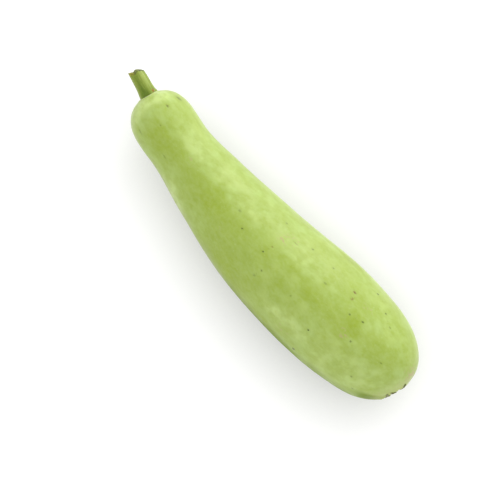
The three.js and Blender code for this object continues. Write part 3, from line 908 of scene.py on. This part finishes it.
# The underside is flat, in four rings from the edge back to the middle.
under_out = np.array([1.0, 0.7, 0.35, 0.02])[:, None]
under_height = np.full((4, REMNANT_SIDES), -REMNANT_ROOT)
rows_out = np.concatenate([reach, under_out * reach[-1:]])
rows_height = np.concatenate([face_height, under_height])
remnant_local = np.stack([rows_out * np.cos(turn), rows_height, rows_out * np.sin(turn)], -1)
blossom_basis = np.stack([blossom_level, blossom_outward, blossom_over])
remnant_points = blossom_seat + remnant_local @ blossom_basis + shift
remnant = closed_mesh("dried_flower_foot", remnant_points / 1000)
# The crust's height sets its colour, darker low in the creases, partly as painted shade.
keep_field(remnant, "crust", np.concatenate([smooth_step(crust, -0.45, 0.55), 0 * under_height]))
keep_field(remnant, "edge", np.concatenate([out + 0 * crust, 1 + 0 * under_height]))

dried, tree = new_material("dried_flower")
here = place(tree, "ShaderNodeTexCoord").outputs["Object"]
patches = group_node(tree, mottle_group, Vector=here, Size=0.003, Stretch=1.0, Contrast=3.0)
flecks = group_node(tree, mottle_group, Vector=here, Size=0.0008, Stretch=1.0, Contrast=3.0)
# Dark brown low in the creases and tan on the folds: partly the dried tissue's own colour, partly painted
# shade in the creases.
colour = mixed(tree, field(tree, "crust"), *CRUST_BROWNS_AND_CREASE_SHADE)
colour = mixed(tree, scaled(tree, patches, 0.45), colour, CRUST_PATCH_BROWN)
colour = mixed(tree, scaled(tree, flecks, 0.25), colour, CRUST_FLECK_TAN)
edge_share = scaled(tree, ranged(tree, field(tree, "edge"), 0.72, 0.95), 0.85)
colour = mixed(tree, edge_share, colour, mixed(tree, patches, *RAGGED_EDGE_OLIVES))
finished(tree, Base_Color=colour, Roughness=ranged(tree, flecks, 0.0, 1.0, 0.9, 0.75),
         Normal=bumped(tree, 0.6, 0.0002, flecks))
remnant.data.materials.append(dried)
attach(remnant, "root")
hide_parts("blossom_remnant")

# ---- Dried petals ---------------------------------------------------------------------------
# What is left of the flower's petals: small brittle scales, grey on top, dark olive along their
# edges and brown at their feet, that cling to the crater's lip. Each is given by its turn round
# the crater, how far out it begins and ends, and its half width.
PETALS = [
    (50, 7.0, 15.2, 2.2), (86, 7.2, 14.0, 1.6), (113, 7.4, 10.4, 1.3),
    (139, 6.9, 15.8, 2.1), (190, 7.2, 11.2, 1.9), (222, 7.0, 12.0, 2.1),
    (271, 7.4, 11.0, 1.6), (309, 6.8, 12.4, 2.4), (352, 7.2, 10.4, 1.7),
]
PETAL_THICK = 0.6
PETAL_LOWEST = -2.6
PETAL_ROWS = 40
PETAL_SIDES = 44
GROUND_REACH = 21
GROUND_LOWEST = -12
PETAL_COLOURS = (tint(154, 157, 116), tint(80, 84, 8))
PETAL_FLECK_TAN = tint(176, 172, 130)
PETAL_EDGE_OLIVE = tint(92, 84, 20)
PETAL_FOOT_BROWNS = (tint(92, 50, 24), tint(150, 104, 70))

# The petals' ground is the skin's points near the crater, and every third of them is enough.
near_crater = from_blossom < GROUND_REACH
skin_places = (skin[near_crater] - shift - blossom_seat) @ blossom_basis.T
skin_places = skin_places[skin_places[:, 1] > GROUND_LOWEST][::3]


def skin_height(places):
    """How far out the skin is at places across the crater: the mean of its six nearest points,
    each weighed by the inverse square of its distance."""
    apart = np.linalg.norm(places[:, None] - skin_places[None, :, [0, 2]], axis=-1)
    nearest = np.argpartition(apart, 6, axis=1)[:, :6]
    weight = 1 / (np.take_along_axis(apart, nearest, 1) ** 2 + 1e-4)
    return (weight * skin_places[:, 1][nearest]).sum(1) / weight.sum(1)


def over_crater(local):
    """Points given across and out of the crater, where they are on the gourd, and nowhere past
    the model's furthest x."""
    points = blossom_seat + local @ blossom_basis + shift
    points[..., 0] = held_below(points[..., 0], furthest_x)
    return points


papery, tree = new_material("papery_petal")
here = place(tree, "ShaderNodeTexCoord").outputs["Object"]
patches = group_node(tree, mottle_group, Vector=here, Size=0.005, Stretch=1.0, Contrast=7.0)
flecks = group_node(tree, mottle_group, Vector=here, Size=0.0009, Stretch=1.0, Contrast=3.0)
colour = mixed(tree, patches, *PETAL_COLOURS)
colour = mixed(tree, scaled(tree, flecks, 0.3), colour, PETAL_FLECK_TAN)
edge_share = scaled(tree, ranged(tree, field(tree, "edge"), 0.7, 1.0), 0.6)
colour = mixed(tree, edge_share, colour, PETAL_EDGE_OLIVE)
foot_share = scaled(tree, ranged(tree, field(tree, "foot"), 0.5, 0.85), 0.85)
colour = mixed(tree, foot_share, colour, mixed(tree, flecks, *PETAL_FOOT_BROWNS))
finished(tree, Base_Color=colour, Roughness=ranged(tree, flecks, 0.0, 1.0, 0.85, 0.7),
         Normal=bumped(tree, 0.5, 0.0002, flecks))

# A petal is a flat tube from its foot to its tip: rounded in outline, notched, swayed to one side,
# and lifted off the skin a little by its curl and its crumples.
along = np.linspace(0.004, 0.996, PETAL_ROWS)[:, None]
turn = np.linspace(0, 2 * math.pi, PETAL_SIDES, endpoint=False)[None]
for number, (petal_turn, petal_from, petal_to, half_width) in enumerate(PETALS):
    rounded = np.sin(math.pi * (0.16 + 0.84 * along) ** (0.75 + 0.15 * (number % 3)))
    notch_place = np.broadcast_arrays(4 * along, np.cos(turn), 9.0 * number)
    notches = 1 + 0.16 * ripple(np.stack(notch_place, -1), 1.3, 51)
    across = half_width * rounded * notches * np.cos(turn)
    outward_by = petal_from + (petal_to - petal_from) * along
    facing = math.radians(petal_turn) + 0.5 * (0.5 - number % 2) * along**2
    level_by = outward_by * np.cos(facing) - across * np.sin(facing)
    over_by = outward_by * np.sin(facing) + across * np.cos(facing)
    on_crater = np.stack([level_by, over_by], -1)
    bed = skin_height(on_crater.reshape(-1, 2)).reshape(level_by.shape)
    crumple = 0.2 * ripple(np.concatenate([on_crater, 0 * on_crater[..., :1]], -1), 2.0, 52 + number)
    curl = 0.3 * along**2 + 0.35 * (across / half_width) ** 2
    thickness = PETAL_THICK / 2 * np.sqrt(rounded) * np.sin(turn)
    height = np.maximum(bed, PETAL_LOWEST) + 0.1 + curl + crumple + thickness
    petal_points = over_crater(np.stack([level_by, height, over_by], -1))
    petal = closed_mesh(f"dried_petal_{number + 1}", petal_points / 1000)
    keep_field(petal, "edge", np.maximum(np.abs(np.cos(turn)), 2 * along - 1))
    keep_field(petal, "foot", 1 - along + 0 * turn)
    petal.data.materials.append(papery)
    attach(petal, "root")
    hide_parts("blossom_remnant")

# ---- Dried thread ---------------------------------------------------------------------------
# The flower's withered style: one hair-thin brown thread that grows out of the dry foot, lies
# over its folds and the crater's lip, and winds down the rind. Its waves are in radians.
THREAD_TURN = math.radians(262)
THREAD_FROM = 2.2
THREAD_LONG = 13.5
THREAD_RADIUS = 0.24
THREAD_LOWEST = -2.2
THREAD_ROWS = 90
THREAD_SIDES = 12

along = np.linspace(0, 1, THREAD_ROWS)
facing = THREAD_TURN + 0.5 * np.sin(2.6 * along) + 0.12 * np.sin(9 * along)
outward_by = THREAD_FROM + THREAD_LONG * along
across = np.stack([outward_by * np.cos(facing), outward_by * np.sin(facing)], -1)
height = np.maximum(skin_height(across), THREAD_LOWEST) + 0.3 + 0.15 * np.sin(math.pi * along)
thread_path = np.stack([across[:, 0], height, across[:, 1]], -1)
thread_ahead = unit(np.gradient(thread_path, axis=0))
thread_side = unit(np.cross(thread_ahead, [0.0, 1.0, 0.0]))
thread_up = np.cross(thread_side, thread_ahead)
turn = np.linspace(0, 2 * math.pi, THREAD_SIDES, endpoint=False)[None, :, None]
thin = THREAD_RADIUS * (1 - 0.55 * along) * (1 + 0.25 * np.sin(31 * along))
ring = thread_side[:, None] * np.cos(turn) + thread_up[:, None] * np.sin(turn)
thread_points = over_crater(thread_path[:, None] + thin[:, None, None] * ring)
thread = closed_mesh("dried_thread", thread_points / 1000)
keep_field(thread, "edge", np.ones(thread_points.shape[:2]))
keep_field(thread, "foot", np.ones(thread_points.shape[:2]))
thread.data.materials.append(papery)
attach(thread, "root")
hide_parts("blossom_remnant")
